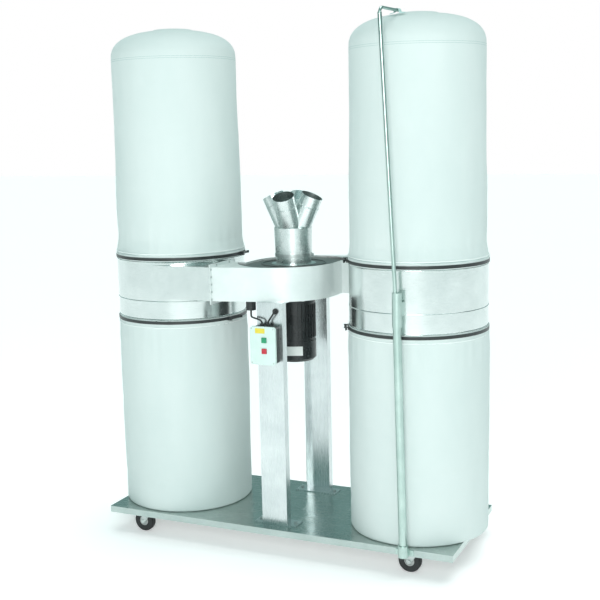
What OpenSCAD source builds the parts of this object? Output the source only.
// Twin-bag dust collector. A blower hangs between two sheet-metal rings; each ring carries a
// filter bag above and a collection bag below. All sizes are in millimetres, +Z is up, the floor
// is at z = 0 and the origin is under the middle of the machine. The front is towards -Y.
// The rings, ducts, columns, casters and hanger poles repeat after half a turn about the middle.

/* [Overall] */
// Diameter of the two filter rings
ring_d = 600; // [480:10:740]
// Distance between the axes of the two rings
bag_spacing = 1180; // [1100:10:1500]
// Height of the tray's top above the floor
deck_z = 123; // [118:1:150]
// Height of the bottom edge of the rings
ring_z = 1008; // [800:4:1200]
// Height of each ring
ring_h = 310; // [290:5:400]
// Height of the top of the filter bags above the rings
filter_h = 1022; // [600:2:1400]

/* [Blower] */
// Height of the blower casing
housing_h = 150; // [130:1:170]
// Radius of the casing's scroll
scroll_r = 250; // [235:5:260]
// Diameter of the fan wheel
impeller_d = 330; // [260:5:350]
// Diameter of the motor over its fins
motor_d = 190; // [150:5:200]

/* [Inlet] */
// Diameter of the main inlet
inlet_d = 166; // [160:2:190]
// Outside diameter of each hose spigot
spigot_d = 100; // [80:2:102]
// Tilt of the spigots from upright
spigot_tilt = 25; // [24:1:34]

/* [Stand] */
// Width of each column
column_w = 122; // [80:2:140]
// Diameter of the caster wheels
wheel_d = 100; // [80:2:104]

/* [View] */
// Node to draw

/* [Hidden] */
$fn = 96;
sheet = 2.5;
plate = 3;
touch = 0.2;
e = 1;

half_span = bag_spacing / 2;
ring_r = ring_d / 2;

// tray
base_l = bag_spacing + 500;
base_w = ring_d + 50;
base_lip = 30;

// rings and ducts
ring_top = ring_z + ring_h;
housing_z0 = ring_z + 123;
housing_z1 = housing_z0 + housing_h;
seam_x = half_span - ring_r - 26;
// height of the lower stiffening bead of the rings
bead_z = ring_z + 107;
duct_in = 90;
lip = 14;
clamp_inset = 10;
lower_clamp_z = ring_z + clamp_inset;
upper_clamp_z = ring_top - clamp_inset;
cloth = 3;
band_h = 14;
band_t = 2;
band_r = ring_r + touch + cloth + touch;

// scroll of the casing
scroll_x = 52;
cover_r = scroll_r + 5;
cover_drop = 8;
cover_z = housing_z1 - cover_drop;
ledge_w = 18;

// inlet
inlet_r = inlet_d / 2;
collar_h = 52;
collar_z = cover_z + collar_h;
trunk_z = collar_z - 20;
crown_z = trunk_z + 132;
spigot_r = spigot_d / 2;
spigot_wall = 2;
spigot_start = 30;
spigot_len = 158;
inlet_band_ear = 5;
crown_r = spigot_start + spigot_r / cos(spigot_tilt) + 1;

// motor
motor_r = motor_d / 2;
motor_foot = housing_z0 - 300;
cowl_h = 90;
cowl_top = motor_foot + cowl_h;
shaft_r = 12;
running = 0.06;
motor_flange_t = 12;
motor_flange_r = motor_r + 22;
motor_bolt_pcd = 2 * motor_r + 21;

nameplate_angle = -69;

// columns
column_x = -1;
column_y = scroll_r + 18;
column_d = 40;
foot_half = column_w / 2 + 42;
foot_bolt = column_w / 2 + 24;
foot_d = 76;
foot_y = column_y - foot_d / 2;

// casters
wheel_r = wheel_d / 2;
caster_x = base_l / 2 - 178;
caster_y = base_w / 2 - 66;
trail = 28;
swivel_plate_t = 3;
deck_under = deck_z - plate;
kingpin_r = 6;
axle_r = 5;
wheel_w = 30;
hub_r = 0.45 * wheel_r;
cheek_gap = 18;
cheek_t = 3;
crown_top = deck_under - 12;

// bags
filter_r = ring_r - 8;
sack_r = ring_r + 3;
sack_corner = 16;
filter_top = ring_top + filter_h;
dome_h = 133;
sack_foot = deck_z + touch;

// hanger poles
tube_r = 17;
pole_y = base_w / 2 + tube_r + 0.5;
pole_x = half_span + 41;
rod_r = 8.5;
arm_r = 6;
sleeve_z = ring_z + 62;
sleeve_h = 142;
sleeve_r = 20;
tube_lean = 1.2;
rod_lean = 2.9;
arm_z = filter_top - 6;
rod_fit = 0.3;
bend_r = 24;
loop_off = 185;
loop_past = 20;
loop_w = 26;
loop_wall = 3;

// switch
box_w = 122;
box_z0 = ring_z - 143;
box_h = 168;
box_back = 36;
box_front = 14;
button = 22;
button_rise = 5;
start_z = box_z0 + 109;
stop_z = box_z0 + 61;
box_x = -column_x - 13;
button_x = box_x + 8;
cable_r = 4;
column_front = -column_y;

steel = [0.78, 0.80, 0.79];
dark = [0.12, 0.13, 0.13];
cloth_color = [0.84, 0.93, 0.92];

// ---- helpers -------------------------------------------------------------------------------

// a ring-shaped wall standing on z
module pipe(outer, wall, h, z = 0) {
    translate([0, 0, z]) difference() {
        cylinder(r = outer, h = h);
        translate([0, 0, -e]) cylinder(r = outer - wall, h = h + 2 * e);
    }
}

// a box given by its two opposite corners
module block(low, high) {
    translate(low) cube(high - low);
}

// the child as it is, or turned half a turn about the middle of the machine
module turned(half_turn) {
    rotate([0, 0, half_turn ? 180 : 0]) children();
}

// where the casters' kingpins stand; side is -1 or 1
function corner_x(side) = side * caster_x;
function corner_y(side) = side * caster_y;

// ---- tray and casters ----------------------------------------------------------------------

module caster_hole_pattern() {
    for (sx = [-1, 1]) for (sy = [-1, 1])
        translate([sx * 36, sy * 28, 0]) children();
}

module base_plate() color(steel) difference() {
    block([-base_l / 2, -base_w / 2, deck_z - base_lip], [base_l / 2, base_w / 2, deck_z]);
    block([-base_l / 2 + plate, -base_w / 2 + plate, deck_z - base_lip - e],
          [base_l / 2 - plate, base_w / 2 - plate, deck_under]);
    for (sx = [-1, 1]) for (sy = [-1, 1])
        translate([corner_x(sx), corner_y(sy), 0])
            caster_hole_pattern() translate([0, 0, deck_under - e]) cylinder(r = 4.1, h = 20);
    for (side = [0, 1]) turned(side) foot_holes(deck_under - e, 3 * plate);
}

module caster_plate() difference() {
    union() {
        block([-46, -38, deck_under - swivel_plate_t], [46, 38, deck_under]);
        translate([0, 0, crown_top + touch]) cylinder(r = 24, h = deck_under - crown_top - touch);
    }
    translate([0, 0, crown_top - e]) cylinder(r = kingpin_r + running, h = 10);
    caster_hole_pattern() translate([0, 0, deck_under - 10]) cylinder(r = 4.1, h = 20);
}

module caster_plates() color(steel)
    for (sx = [-1, 1]) for (sy = [-1, 1])
        translate([corner_x(sx), corner_y(sy), 0]) caster_plate();

module caster_bolts() color(dark)
    for (sx = [-1, 1]) for (sy = [-1, 1])
        translate([corner_x(sx), corner_y(sy), 0]) caster_hole_pattern() {
            translate([0, 0, deck_under - swivel_plate_t - 5]) cylinder(r = 6.5, h = 5, $fn = 6);
            translate([0, 0, deck_under - swivel_plate_t]) cylinder(r = 4, h = swivel_plate_t + plate - 0.5);
        }

// one cheek of the fork, drawn in the XZ plane about the kingpin
module cheek_outline() difference() {
    union() {
        polygon([[-26, crown_top], [26, crown_top], [-trail + 12, wheel_r], [-trail - 12, wheel_r]]);
        translate([-trail, wheel_r]) circle(r = 12);
    }
    translate([-trail, wheel_r]) circle(r = axle_r + 0.2);
}

module fork() color(steel) {
    for (side = [-1, 1]) translate([0, side > 0 ? cheek_gap + cheek_t : -cheek_gap, 0])
        rotate([90, 0, 0]) linear_extrude(cheek_t) cheek_outline();
    block([-26, -cheek_gap - cheek_t, crown_top - 4], [26, cheek_gap + cheek_t, crown_top]);
    translate([0, 0, crown_top - e]) cylinder(r = kingpin_r, h = 9);
}

// the axle bolt is a solid of its own beside the fork
module axle_bolt() color(dark) translate([-trail, 0, wheel_r]) rotate([90, 0, 0]) {
    translate([0, 0, -cheek_gap - cheek_t - 4]) cylinder(r = axle_r, h = 2 * (cheek_gap + cheek_t + 4));
    translate([0, 0, cheek_gap + cheek_t + touch]) cylinder(r = 9, h = 5, $fn = 6);
    translate([0, 0, -cheek_gap - cheek_t - touch - 5]) cylinder(r = 9, h = 5, $fn = 6);
}

module fork_at(sx, sy) translate([corner_x(sx), corner_y(sy), 0]) {
    fork();
    axle_bolt();
}

module wheel_at(sx, sy)
    translate([corner_x(sx) - trail, corner_y(sy), wheel_r]) rotate([90, 0, 0]) children();

module hub() color([0.75, 0.76, 0.76]) difference() {
    union() {
        cylinder(r = hub_r, h = wheel_w - 4, center = true);
        cylinder(r = 11, h = 2 * cheek_gap - 1, center = true);
    }
    cylinder(r = axle_r + running, h = 2 * wheel_w, center = true);
    for (side = [-1, 1]) translate([0, 0, side * (wheel_w / 2 - 2)])
        difference() {
            cylinder(r = hub_r - 4, h = 10, center = true);
            cylinder(r = 13, h = 12, center = true);
        }
}

module tyre() color(dark) difference() {
    union() {
        cylinder(r = wheel_r, h = wheel_w - 10, center = true);
        cylinder(r = wheel_r - 4, h = wheel_w, center = true);
    }
    cylinder(r = hub_r, h = 2 * wheel_w, center = true);
}

// ---- columns -------------------------------------------------------------------------------

module foot_holes(z, h)
    for (side = [-1, 1])
        translate([-column_x + side * foot_bolt, -foot_y, z]) cylinder(r = 5.2, h = h);

module head_holes(z, h)
    for (side = [-1, 1])
        translate([-column_x + side * 36, -column_y + column_d + 18, z]) cylinder(r = 5.2, h = h);

// the front column; its web faces the front and its open side faces the motor
module column() color(steel) difference() {
    union() {
        difference() {
            block([-column_x - column_w / 2, -column_y, deck_z],
                  [-column_x + column_w / 2, -column_y + column_d, housing_z0]);
            block([-column_x - column_w / 2 + plate, -column_y + plate, deck_z - e],
                  [-column_x + column_w / 2 - plate, -column_y + column_d + e, housing_z0 + e]);
        }
        block([-column_x - foot_half, -foot_y - foot_d / 2, deck_z],
              [-column_x + foot_half, -foot_y + foot_d / 2, deck_z + 5]);
        block([-column_x - column_w / 2, -column_y, housing_z0 - 5],
              [-column_x + column_w / 2, -column_y + column_d + 36, housing_z0]);
    }
    foot_holes(deck_z - e, 10);
    head_holes(housing_z0 - 10, 20);
}

module front_column() difference() {
    column();
    // cable hole behind the rubber grommet
    translate([gland_x, column_front - e, gland_z]) rotate([-90, 0, 0]) cylinder(r = 9.2, h = 10);
}

module rear_column() turned(true) column();

module column_bolts() color([0.7, 0.7, 0.7]) for (half = [false, true]) turned(half) {
    for (side = [-1, 1]) {
        // feet: heads above the foot plate, nuts under the tray
        translate([-column_x + side * foot_bolt, -foot_y, 0]) {
            translate([0, 0, deck_z + 5 + touch]) cylinder(r = 9, h = 7, $fn = 6);
            translate([0, 0, deck_under - 12]) cylinder(r = 5, h = 5 + plate + 13);
            translate([0, 0, deck_under - touch - 8]) cylinder(r = 9, h = 8, $fn = 6);
        }
        // heads: nuts inside the casing
        translate([-column_x + side * 36, -column_y + column_d + 18, 0]) {
            translate([0, 0, housing_z0 - 5 - touch - 7]) cylinder(r = 9, h = 7, $fn = 6);
            translate([0, 0, housing_z0 - 6]) cylinder(r = 5, h = 6 + plate + 8);
            translate([0, 0, housing_z0 + plate + touch]) cylinder(r = 9, h = 7, $fn = 6);
        }
    }
}

// ---- blower casing -------------------------------------------------------------------------

// where the flat duct wall leaves the scroll: the tangent from the duct's outer corner
seam_from_scroll = [-seam_x + scroll_x, -ring_r];
tangent_angle = atan2(seam_from_scroll[1], seam_from_scroll[0])
              + acos(scroll_r / norm(seam_from_scroll));
tangent_dir = [cos(tangent_angle), sin(tangent_angle)];

function scroll_point(inset) = [-scroll_x, 0] + (scroll_r - inset) * tangent_dir;
// the flat wall moved in by inset and met at a chosen x
function wall_y(inset, x) = scroll_point(inset)[1]
    - (x - scroll_point(inset)[0]) * tangent_dir[0] / tangent_dir[1];

// the front half: the half scroll and its duct, moved in by inset
module half_outline(inset, past = 0) {
    edge = scroll_r - scroll_x - inset;
    intersection() {
        translate([-scroll_x, 0]) circle(r = scroll_r - inset, $fn = 180);
        translate([-edge, -ring_r]) square([2 * edge, ring_r]);
    }
    polygon([
        scroll_point(inset),
        [-seam_x - past, wall_y(inset, -seam_x - past)],
        [-seam_x - past, -duct_in - inset],
        [-edge, -duct_in - inset],
        [0, -duct_in]
    ]);
}

module outline(inset, past = 0) {
    half_outline(inset, past);
    rotate(180) half_outline(inset, past);
    square([2 * (scroll_r - scroll_x - inset), 10], center = true);
}

// the round part of the casing that the cover plate closes
module cover_outline(inset) intersection() {
    outline(inset);
    circle(r = cover_r + sheet - inset, $fn = 180);
}

// flange at the seam between a duct and its ring; x is the flange's outer face
module seam_flange(x) translate([x, 0, 0]) difference() {
    block([0, -ring_r - lip, housing_z0 - lip], [plate, -duct_in + lip, housing_z1 + lip]);
    block([-e, -ring_r + sheet, housing_z0 + plate], [plate + e, -duct_in - sheet, housing_z1 - sheet]);
    seam_screw_places() translate([-e, 0, 0]) rotate([0, 90, 0]) cylinder(r = 2.7, h = plate + 2 * e);
}

module seam_screw_places() {
    duct_mid = (ring_r + duct_in) / 2;
    tall = housing_z1 - housing_z0;
    for (k = [0 : 4]) translate([0, -ring_r - lip / 2, housing_z0 + tall * (0.06 + 0.22 * k)]) children();
    for (k = [-1, 1]) for (z = [housing_z0 - lip / 2, housing_z1 + lip / 2])
        translate([0, -duct_mid + k * 60, z]) children();
}

// how far the scroll's wall is from the middle in a direction of the front half (180 to 360 degrees)
function scroll_reach(a) = -scroll_x * cos(a)
    + sqrt((scroll_r - sheet) * (scroll_r - sheet) - scroll_x * scroll_x * sin(a) * sin(a));
function cover_screw_r(a) = min(cover_r, scroll_reach(a + 180)) - 11;

module cover_screw_places()
    for (half = [false, true]) turned(half)
        for (a = [40, 75, 110, 145, 178]) rotate([0, 0, a]) translate([cover_screw_r(a), 0, 0]) children();

module housing() color(steel) {
    difference() {
        translate([0, 0, housing_z0]) linear_extrude(housing_h) outline(0);
        translate([0, 0, housing_z0 + plate]) linear_extrude(housing_h - plate - sheet) outline(sheet, 5);
        translate([0, 0, cover_z - plate]) linear_extrude(cover_drop + plate + e) cover_outline(sheet);
        translate([0, 0, housing_z0 - e]) cylinder(r = 62, h = 10);
        for (half = [false, true]) turned(half) head_holes(housing_z0 - e, 10);
        translate([0, 0, housing_z0 - e]) motor_bolt_places() cylinder(r = 5.2, h = 10);
        translate([inlet_gland_x, inlet_gland_y, housing_z0 - e]) cylinder(r = 9.2, h = 10);
    }
    // ledge that carries the cover
    translate([0, 0, cover_z - 2 * plate]) difference() {
        linear_extrude(plate) cover_outline(sheet / 2);
        translate([0, 0, -e]) linear_extrude(plate + 2 * e) cover_outline(sheet + ledge_w);
        translate([0, 0, -e]) cover_screw_places() cylinder(r = 2.7, h = plate + 2 * e);
    }
    for (half = [false, true]) turned(half) seam_flange(-seam_x);
}

module housing_top() color(dark) translate([0, 0, cover_z - plate]) difference() {
    union() {
        linear_extrude(plate) cover_outline(sheet + 0.3);
        // stiffening bead around the inlet
        translate([0, 0, plate]) rotate_extrude() translate([inlet_r + 62, 0]) circle(r = 4, $fn = 24);
    }
    translate([0, 0, -10]) linear_extrude(10) square(3 * ring_d, center = true);
    translate([0, 0, -e]) cylinder(r = inlet_r - 4, h = 2 * plate);
    translate([0, 0, -e]) cover_screw_places() cylinder(r = 2.7, h = plate + 2 * e);
}

module screw(grip) {
    translate([0, 0, -grip - 4]) cylinder(r = 2.5, h = grip + 4 + e);
    translate([0, 0, touch]) cylinder(r = 4.6, h = 3);
    translate([0, 0, -grip - touch - 3]) cylinder(r = 4.6, h = 3, $fn = 6);
}

module housing_screws() color([0.85, 0.85, 0.85]) {
    translate([0, 0, cover_z]) cover_screw_places() screw(2 * plate);
    for (half = [false, true]) turned(half)
        translate([-seam_x + plate, 0, 0]) seam_screw_places() rotate([0, 90, 0]) screw(2 * plate);
}

// ---- inlet ---------------------------------------------------------------------------------

module inlet_collar() color(steel) difference() {
    union() {
        translate([0, 0, cover_z]) cylinder(r = inlet_r + 18, h = 2);
        translate([0, 0, cover_z]) cylinder(r = inlet_r - 3, h = collar_h);
    }
    translate([0, 0, cover_z - e]) cylinder(r = inlet_r - 5, h = collar_h + 2 * e);
}

module collar_band() color(steel) {
    pipe(inlet_r + 2.2, 2, 14, trunk_z + 2);
    translate([inlet_r + 1, -inlet_band_ear, trunk_z + 2]) cube([14, 2 * inlet_band_ear, 14]);
}

// trunk of the four-way inlet: a slightly flared pipe with a crown plate under the spigots
module manifold() color(steel) {
    difference() {
        union() {
            translate([0, 0, trunk_z]) cylinder(r = inlet_r, h = 22);
            translate([0, 0, trunk_z + 22]) cylinder(r1 = inlet_r, r2 = crown_r, h = crown_z - trunk_z - 22);
        }
        translate([0, 0, trunk_z - e]) cylinder(r = inlet_r - sheet, h = 22 + 2 * e);
        translate([0, 0, trunk_z + 22])
            cylinder(r1 = inlet_r - sheet, r2 = crown_r - sheet, h = crown_z - trunk_z - 22 - 3);
        for (a = [0 : 90 : 270]) rotate([0, 0, a]) spigot_axis() spigot_body(spigot_r);
    }
}

// from the crown plate up along a spigot that leans towards +X
module spigot_axis() translate([spigot_start, 0, crown_z]) rotate([0, spigot_tilt, 0]) children();

module spigot_body(r) translate([0, 0, -60]) cylinder(r = r, h = spigot_len + 60);

// the quarter of space that belongs to the spigot that leans towards +X
module spigot_quarter()
    translate([0, 0, crown_z]) linear_extrude(400) polygon([[0, 0], [400, 400], [400, -400]]);

module spigot(a) color(steel) rotate([0, 0, a]) difference() {
    intersection() {
        union() {
            spigot_axis() spigot_body(spigot_r);
            spigot_axis() translate([0, 0, spigot_len - 48]) rotate_extrude()
                translate([spigot_r, 0]) circle(r = 2, $fn = 24);
        }
        spigot_quarter();
    }
    spigot_axis() translate([0, 0, -10]) spigot_body(spigot_r - spigot_wall);
    spigot_axis() cylinder(r = spigot_r - spigot_wall, h = spigot_len + e);
}

// ---- fan wheel and motor -------------------------------------------------------------------

impeller_z = housing_z0 + 14;
blade_h = 90;
blades = 8;

module impeller() color(steel) difference() {
    union() {
        translate([0, 0, impeller_z]) cylinder(r = impeller_d / 2, h = 4);
        translate([0, 0, impeller_z]) cylinder(r = 28, h = 44);
        for (k = [0 : blades - 1]) rotate([0, 0, k * 360 / blades]) rotate([0, 0, -12])
            translate([24, -1.5, impeller_z]) cube([impeller_d / 2 - 32, 3, blade_h]);
    }
    translate([0, 0, impeller_z - e]) cylinder(r = shaft_r, h = blade_h);
}

module motor_shaft() color([0.6, 0.6, 0.62]) {
    translate([0, 0, motor_foot + 14]) cylinder(r = shaft_r, h = impeller_z + 40 - motor_foot - 14);
    translate([0, 0, rotor_z0 + 6]) cylinder(r = 46, h = rotor_z1 - rotor_z0 - 12);
}

rotor_z0 = cowl_top + 24;
rotor_z1 = housing_z0 - 60;
fins = 32;

module motor_body() color(dark) difference() {
    union() {
        translate([0, 0, cowl_top - 8]) cylinder(r = motor_r - 5, h = housing_z0 - cowl_top + 8 - motor_flange_t);
        // rabbet that carries the cowl
        translate([0, 0, cowl_top - 8]) cylinder(r = motor_r - 2 - touch, h = 12);
        for (k = [0 : fins - 1]) rotate([0, 0, k * 360 / fins])
            translate([motor_r - 10, -1.5, cowl_top + 14]) cube([10, 3, housing_z0 - cowl_top - 54]);
        translate([0, 0, housing_z0 - motor_flange_t - 20]) cylinder(r = motor_r, h = 21);
        translate([0, 0, housing_z0 - motor_flange_t]) cylinder(r = motor_flange_r, h = motor_flange_t);
        translate([0, 0, housing_z0 - e]) cylinder(r = 61.5, h = e + plate + 3);
    }
    translate([0, 0, cowl_top - 20]) cylinder(r = shaft_r + running, h = 400);
    translate([0, 0, rotor_z0]) cylinder(r = 50, h = rotor_z1 - rotor_z0);
    translate([0, 0, housing_z0 - motor_flange_t - e]) motor_bolt_places() cylinder(r = 5.2, h = 20);
}

module motor_bolt_places()
    for (a = [45 : 90 : 315]) rotate([0, 0, a]) translate([motor_bolt_pcd / 2, 0, 0]) children();

module motor_bolts() color([0.5, 0.5, 0.5]) motor_bolt_places() {
    translate([0, 0, housing_z0 - motor_flange_t - touch - 7]) cylinder(r = 8, h = 7, $fn = 6);
    translate([0, 0, housing_z0 - motor_flange_t - e]) cylinder(r = 5, h = motor_flange_t + e + plate + 8);
    translate([0, 0, housing_z0 + plate + touch]) cylinder(r = 8, h = 7, $fn = 6);
}

module motor_cowl() color(dark) difference() {
    union() {
        translate([0, 0, motor_foot + 12]) cylinder(r = motor_r, h = cowl_h - 12);
        translate([0, 0, motor_foot]) cylinder(r1 = motor_r - 12, r2 = motor_r, h = 12);
    }
    translate([0, 0, motor_foot + 12]) cylinder(r = motor_r - 2, h = cowl_h);
    translate([0, 0, motor_foot + 3]) cylinder(r1 = motor_r - 14, r2 = motor_r - 2, h = 9.01);
    // air slots in four rings
    for (ring = [0 : 3]) for (k = [0 : 5]) rotate([0, 0, k * 60 + ring * 30])
        translate([22 + ring * 13, -8 - 2 * ring, motor_foot - e]) cube([7, 16 + 4 * ring, 6]);
}

module motor_fan() color([0.3, 0.3, 0.3]) difference() {
    union() {
        translate([0, 0, motor_foot + 22]) cylinder(r = 22, h = 34);
        translate([0, 0, motor_foot + 46]) cylinder(r = 70, h = 3);
        for (k = [0 : 6]) rotate([0, 0, k * 360 / 7])
            translate([18, -1.5, motor_foot + 22]) cube([56, 3, 26]);
    }
    translate([0, 0, motor_foot]) cylinder(r = shaft_r + running, h = 100);
}

module motor_nameplate() color([0.8, 0.8, 0.8]) rotate([0, 0, nameplate_angle])
    block([motor_r + touch, -38, motor_foot + 32], [motor_r + 1.7, 38, motor_foot + 74]);

// on the side of the motor that the front column hides
module terminal_box() color(dark) rotate([0, 0, 210])
    difference() {
        block([motor_r - 1, -40, housing_z0 - 130], [motor_r + 34, 40, housing_z0 - 50]);
        translate([0, 0, housing_z0 - 140]) cylinder(r = motor_r + touch, h = 120);
    }

// ---- filter rings --------------------------------------------------------------------------

module ring_bead(z) translate([0, 0, z]) rotate_extrude() translate([ring_r - 1, 0]) circle(r = 3, $fn = 24);

// the left ring with its duct; the right one is the same after half a turn
module ring() color(steel) {
    difference() {
        union() {
            translate([-half_span, 0, ring_z]) cylinder(r = ring_r, h = ring_h, $fn = 180);
            for (z = [ring_z + 24, bead_z, ring_top - 24]) translate([-half_span, 0, 0]) ring_bead(z);
            block([-half_span, -ring_r, housing_z0], [-seam_x, -duct_in, housing_z1]);
        }
        translate([-half_span, 0, ring_z - e]) cylinder(r = ring_r - sheet, h = ring_h + 2 * e, $fn = 180);
        block([-half_span, -ring_r + sheet, housing_z0 + plate], [-seam_x + e, -duct_in - sheet, housing_z1 - sheet]);
    }
    seam_flange(-seam_x - plate);
}

module ring_left() ring();
module ring_right() turned(true) ring();

// ---- bags ----------------------------------------------------------------------------------

// a quarter of a rounded crown, from the side to the axis; the power squares its shoulder a little
crown_power = 2.6;
function crown(r, z, h) = [
    for (a = [0 : 7.5 : 90]) [r * pow(cos(a), 2 / crown_power), z + h * pow(sin(a), 2 / crown_power)]
];
// height of the filter bag's crown at a distance from its axis
function crown_height(off) = filter_top - dome_h
    + dome_h * pow(1 - pow(off / filter_r, crown_power), 1 / crown_power);

hem_in = ring_r + touch;
filter_hem = ring_top - 20;

function filter_wall(inset) = concat(
    [[0, filter_hem], [hem_in + cloth - inset, filter_hem], [hem_in + cloth - inset, ring_top + 6]],
    [[filter_r - inset, ring_top + 60]],
    crown(filter_r - inset, filter_top - dome_h, dome_h - inset)
);

module filter_bag() color(cloth_color) difference() {
    rotate_extrude($fn = 180) polygon(filter_wall(0));
    translate([0, 0, -0.01]) rotate_extrude($fn = 180) polygon(filter_wall(cloth));
}

sack_hem = ring_z + 20;
function sack_wall(inset) = concat(
    [[0, sack_hem], [hem_in + cloth - inset, sack_hem], [hem_in + cloth - inset, ring_z - 6]],
    [[sack_r - inset, ring_z - 50], [sack_r - inset, sack_foot + sack_corner]],
    [for (a = [0 : 15 : 90]) [sack_r - sack_corner + (sack_corner - inset) * cos(a),
                              sack_foot + sack_corner - (sack_corner - inset) * sin(a)]],
    [[0, sack_foot + inset]]
);

module collection_bag() color(cloth_color) difference() {
    rotate_extrude($fn = 180) polygon(sack_wall(0));
    translate([0, 0, 0.01]) rotate_extrude($fn = 180) polygon(sack_wall(cloth));
}

module at_ring(side) translate([side * half_span, 0, 0]) children();

// band clamps with the fixed halves of their latches: side, height and angle on the ring
clamps = [
    [-1, upper_clamp_z, 10],
    [1, upper_clamp_z, 200],
    [-1, lower_clamp_z, -12],
    [1, lower_clamp_z, 205]
];
latch_off = 10;
latch_len = 72;
latch_half = 6;
pin_r = 3;

module at_clamp(clamp) translate([clamp[0] * half_span, 0, clamp[1]]) rotate([0, 0, clamp[2]]) children();

module band_clamps() color(dark) for (clamp = clamps) at_clamp(clamp) {
    pipe(band_r + band_t, band_t, band_h, -band_h / 2);
    // saddle with two lugs and the hinge pin between them
    translate([band_r - 0.4, -34, -latch_half - 2.5]) cube([4.4, 14, 2 * latch_half + 5]);
    for (side = [-1, 1]) translate([band_r - 0.4, -34, side * (latch_half + 1.5) - 1]) cube([21, 14, 2]);
    translate([band_r + band_t + latch_off, -27, -latch_half - 2.5]) cylinder(r = pin_r, h = 2 * latch_half + 5);
    // catch under the lever
    translate([band_r - 0.4, 26, -band_h / 2]) cube([7, 10, band_h]);
}

// the lever swings out about its upright pin
module latch(clamp) color(dark) at_clamp(clamp) translate([band_r + band_t + latch_off, -27, 0]) difference() {
    union() {
        cylinder(r = 6, h = 2 * latch_half, center = true);
        translate([-2, 0, -latch_half]) cube([3, latch_len, 2 * latch_half]);
        translate([-2, latch_len - 1, -latch_half]) rotate([0, 0, -30]) cube([3, 12, 2 * latch_half]);
    }
    cylinder(r = pin_r + 0.08, h = 40, center = true);
}

// ---- hanger poles --------------------------------------------------------------------------

// the right-hand pole; the left-hand one is the same after half a turn
module pole_tube() color(steel) {
    translate([pole_x, -pole_y, deck_z - 22]) rotate([0, -tube_lean, 0])
        cylinder(r = tube_r, h = sleeve_z - touch - deck_z + 22);
    // socket and bracket on the tray's front lip
    translate([pole_x, -pole_y, deck_z - 28]) difference() {
        cylinder(r = tube_r + 5, h = 50);
        translate([-50, sleeve_front, -e]) cube([100, 50, 60]);
    }
    block([pole_x - 40, -base_w / 2 - 3, deck_z - 26], [pole_x + 40, -base_w / 2 - touch / 2, deck_z - 2]);
}
sleeve_front = pole_y - base_w / 2 - touch / 2;

module along_rod(z = 0) translate([rod_x, -pole_y, sleeve_z + 10]) rotate([0, -rod_lean, 0])
    translate([0, 0, z]) children();
rod_x = pole_x - sin(tube_lean) * (sleeve_z - deck_z);

module pole_sleeve() difference() {
    union() {
        translate([rod_x, -pole_y, sleeve_z]) cylinder(r = sleeve_r, h = sleeve_h);
        block([rod_x - 16, -pole_y, sleeve_z + 44], [rod_x + 16, -ring_r + 6, sleeve_z + 100]);
    }
    translate([half_span, 0, 0]) cylinder(r = ring_r + touch, h = 3000, $fn = 180);
    along_rod(-touch) cylinder(r = rod_r + rod_fit, h = 400);
    translate([half_span, 0, bead_z]) rotate_extrude($fn = 180) translate([ring_r - 1, 0]) circle(r = 3.4, $fn = 24);
}

module pole_sleeves() color(steel) for (half = [false, true]) turned(half) pole_sleeve();

rod_len = (arm_z - sleeve_z - 10 - bend_r) / cos(rod_lean);
rod_top_x = rod_x - sin(rod_lean) * rod_len;
// the arm points at the bag's axis and stops short of it, just past the bag's loop
arm_angle = atan2(half_span - rod_top_x, pole_y);
arm_len = norm([half_span - rod_top_x, pole_y]) - bend_r - loop_off + loop_past;

module pole_rod() color(steel) {
    along_rod() cylinder(r = rod_r, h = rod_len);
    // bend and arm over the bag
    translate([rod_top_x, -pole_y, arm_z - bend_r]) rotate([0, 0, 90 - arm_angle]) {
        sphere(r = rod_r + 0.5);
        translate([bend_r, 0, 0]) rotate([90, 0, 0]) rotate([0, 0, 90]) rotate_extrude(angle = 90)
            translate([bend_r, 0]) circle(r = arm_r, $fn = 32);
        translate([bend_r, 0, bend_r]) rotate([0, 90, 0]) cylinder(r = arm_r, h = arm_len);
    }
}

// the loop stands on the crown where the crown is still this high under its inner edge
loop_z = crown_height(loop_off - loop_w / 2) + touch;
loop_half = arm_r + 2 + loop_wall;
loop_top = arm_z + arm_r + 0.5;

// webbing loop on the bag's crown, around the arm
module bag_loop() color(cloth_color)
    translate([half_span, 0, 0]) rotate([0, 0, -arm_angle]) translate([0, -loop_off, 0]) difference() {
        block([-loop_half, -loop_w / 2, loop_z], [loop_half, loop_w / 2, loop_top + loop_wall]);
        block([-loop_half + loop_wall, -loop_w, loop_z - e], [loop_half - loop_wall, loop_w, loop_top]);
    }

// ---- switch --------------------------------------------------------------------------------

gland_x = -column_x + 30;
gland_z = housing_z0 - 36;
inlet_gland_x = -column_x - column_w / 2 - 54;
inlet_gland_y = column_front + 51;
inlet_gland_r = 22;
inlet_gland_h = 44;
box_mid_y = column_front - box_back;
box_face_y = box_mid_y - box_front;

module rounded_box(w, h, r, depth) translate([-w / 2, 0, 0]) rotate([90, 0, 0]) linear_extrude(depth) union() {
    translate([r, 0]) square([w - 2 * r, h]);
    translate([0, r]) square([w, h - 2 * r]);
    for (x = [r, w - r]) for (z = [r, h - r]) translate([x, z]) circle(r = r, $fn = 48);
}

module switch_base() color(dark) difference() {
    translate([box_x, column_front - touch, box_z0 + 3]) rounded_box(box_w - 6, box_h - 6, 12, box_back - touch);
    translate([box_x, column_front - 6, box_z0 + 9]) rounded_box(box_w - 18, box_h - 18, 8, box_back);
    for (x = lead_x) translate([x, lead_y, box_z0 + box_h - 20]) cylinder(r = 6.2, h = 40);
}

module button_places(z) translate([button_x, box_face_y, z]) children();

module button_hole(z) button_places(z)
    block([-button / 2 - 0.5, -e, -button / 2 - 0.5], [button / 2 + 0.5, 20, button / 2 + 0.5]);

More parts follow.
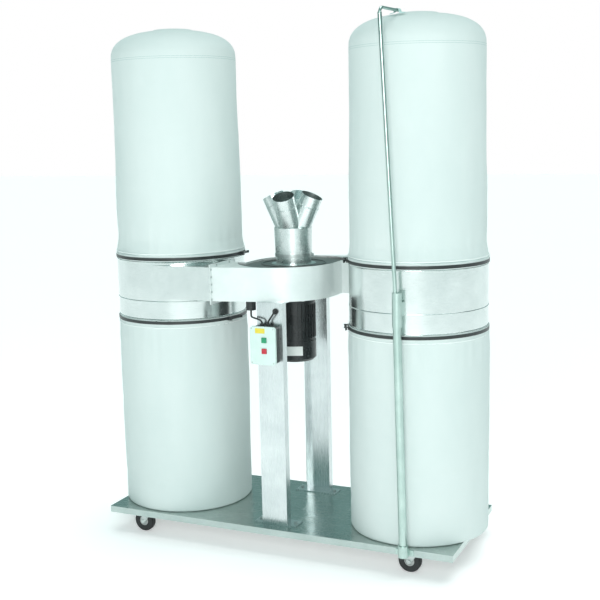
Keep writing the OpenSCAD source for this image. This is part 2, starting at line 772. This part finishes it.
module switch_cover() color([0.86, 0.92, 0.90]) difference() {
    translate([box_x, box_mid_y, box_z0]) rounded_box(box_w, box_h, 14, box_front);
    translate([box_x, box_mid_y + e, box_z0 + 3]) rounded_box(box_w - 6, box_h - 6, 11, box_front - 3 + e);
    button_hole(start_z);
    button_hole(stop_z);
}

// a square cap on a stem that carries a retaining plate behind the cover
module push_button(z) button_places(z) {
    block([-button / 2, -button_rise, -button / 2], [button / 2, 12, button / 2]);
    block([-button / 2 - 4, 3.3, -button / 2 - 4], [button / 2 + 4, 5.3, button / 2 + 4]);
}

module start_button() color([0.1, 0.55, 0.25]) push_button(start_z);
module stop_button() color([0.75, 0.1, 0.12]) push_button(stop_z);

lead_x = [-26, 4];
lead_y = column_front - 20;
lead_z = box_z0 + box_h - 3;

// ---- swept cable: a tube along a smooth curve through chosen points ----------------------------

cable_sides = 10;
cable_steps = 5;

// a point on the smooth curve that runs from p1 to p2, with p0 and p3 as its neighbours
function curve_point(p0, p1, p2, p3, t) = 0.5 * (2 * p1 + (p2 - p0) * t
    + (2 * p0 - 5 * p1 + 4 * p2 - p3) * t * t + (3 * p1 - p0 - 3 * p2 + p3) * t * t * t);
function held(k, points) = points[max(0, min(len(points) - 1, k))];
function smooth_path(points) = concat(
    [for (k = [0 : len(points) - 2]) for (s = [0 : cable_steps - 1])
        curve_point(held(k - 1, points), points[k], points[k + 1], held(k + 2, points), s / cable_steps)],
    [points[len(points) - 1]]
);
function unit(v) = v / norm(v);
function path_dir(path, k) = unit(held(k + 1, path) - held(k - 1, path));
// a fixed side direction keeps the rings from twisting
side_hint = [1, 0.35, 0];
function ring_at(path, k) = let (
    along = path_dir(path, k),
    across = unit(cross(along, side_hint)),
    up = cross(across, along)
) [for (j = [0 : cable_sides - 1]) path[k]
    + cable_r * (cos(j * 360 / cable_sides) * across + sin(j * 360 / cable_sides) * up)];

module cable(points) {
    path = smooth_path(points);
    rings = len(path);
    corners = [for (k = [0 : rings - 1]) each ring_at(path, k)];
    side_faces = [
        for (k = [0 : rings - 2]) for (j = [0 : cable_sides - 1])
            let (next = (j + 1) % cable_sides, here = k * cable_sides, above = here + cable_sides)
            [here + j, above + j, above + next, here + next]
    ];
    end_faces = [
        [for (j = [0 : cable_sides - 1]) j],
        [for (j = [cable_sides - 1 : -1 : 0]) (rings - 1) * cable_sides + j]
    ];
    polyhedron(points = corners, faces = concat(side_faces, end_faces));
}

// each lead as a row of points from the switch box to its far gland
motor_lead = [
    [lead_x[1], lead_y, lead_z - 10],
    [lead_x[1], lead_y, lead_z + 14],
    [lead_x[1] + 2, lead_y, lead_z + 24],
    [gland_x - 4, lead_y - 2, gland_z - 12],
    [gland_x, lead_y + 1, gland_z - 2],
    [gland_x, column_front - 7, gland_z],
    [gland_x, column_front + 12, gland_z]
];
supply_lead = [
    [lead_x[0], lead_y, lead_z - 10],
    [lead_x[0], lead_y, lead_z + 14],
    [lead_x[0] - 10, lead_y + 1, lead_z + 27],
    [-column_x - column_w / 2 - 10, column_front - 12, housing_z0 - 67],
    [inlet_gland_x + 16, inlet_gland_y - 28, housing_z0 - 69],
    [inlet_gland_x + 2, inlet_gland_y - 5, housing_z0 - 62],
    [inlet_gland_x, inlet_gland_y, housing_z0 - inlet_gland_h - 7],
    [inlet_gland_x, inlet_gland_y, housing_z0 + 6]
];

module switch_leads() color(dark) {
    cable(motor_lead);
    cable(supply_lead);
}

module cable_glands() color(dark) {
    // two glands in the top of the switch box
    for (x = lead_x) translate([x, lead_y, box_z0 + box_h - 3]) difference() {
        union() {
            translate([0, 0, -4]) cylinder(r = 6, h = 6);
            cylinder(r = 9, h = 12);
        }
        translate([0, 0, -10]) cylinder(r = cable_r + 0.5, h = 40);
    }
    // grommet in the column
    translate([gland_x, column_front, gland_z]) rotate([90, 0, 0]) difference() {
        union() {
            translate([0, 0, touch]) cylinder(r = 13, h = 5);
            translate([0, 0, -3]) cylinder(r = 9, h = 6);
        }
        translate([0, 0, -10]) cylinder(r = cable_r + 0.5, h = 40);
    }
    // large gland under the casing
    translate([inlet_gland_x, inlet_gland_y, housing_z0]) difference() {
        union() {
            translate([0, 0, -touch - inlet_gland_h]) cylinder(r = inlet_gland_r, h = inlet_gland_h);
            translate([0, 0, -5]) cylinder(r = 9, h = 8);
        }
        translate([0, 0, -50]) cylinder(r = cable_r + 0.5, h = 100);
    }
}

// ---- what is drawn -------------------------------------------------------------------------

base_plate();
caster_plates();
caster_bolts();
fork_at(-1, -1);  // fork_front_left
fork_at(1, -1);  // fork_front_right
fork_at(-1, 1);  // fork_rear_left
fork_at(1, 1);  // fork_rear_right
wheel_at(-1, -1) hub();  // hub_front_left
wheel_at(1, -1) hub();  // hub_front_right
wheel_at(-1, 1) hub();  // hub_rear_left
wheel_at(1, 1) hub();  // hub_rear_right
wheel_at(-1, -1) tyre();  // tyre_front_left
wheel_at(1, -1) tyre();  // tyre_front_right
wheel_at(-1, 1) tyre();  // tyre_rear_left
wheel_at(1, 1) tyre();  // tyre_rear_right
front_column();
rear_column();
column_bolts();
housing();
housing_top();
housing_screws();
inlet_collar();
collar_band();
manifold();
spigot(270);  // spigot_front
spigot(0);  // spigot_right
spigot(90);  // spigot_rear
spigot(180);  // spigot_left
impeller();
motor_shaft();
motor_body();
motor_fan();
motor_cowl();
motor_nameplate();
motor_bolts();
terminal_box();
ring_left();
ring_right();
band_clamps();
latch(clamps[0]);  // latch_upper_left
latch(clamps[1]);  // latch_upper_right
latch(clamps[2]);  // latch_lower_left
latch(clamps[3]);  // latch_lower_right
at_ring(-1) filter_bag();  // filter_bag_left
at_ring(1) filter_bag();  // filter_bag_right
at_ring(-1) collection_bag();  // collection_bag_left
at_ring(1) collection_bag();  // collection_bag_right
turned(true) bag_loop();  // bag_loop_left
bag_loop();  // bag_loop_right
turned(true) pole_tube();  // pole_tube_left
pole_tube();  // pole_tube_right
pole_sleeves();
turned(true) pole_rod();  // pole_rod_left
pole_rod();  // pole_rod_right
switch_base();
switch_cover();
start_button();
stop_button();
switch_leads();
cable_glands();
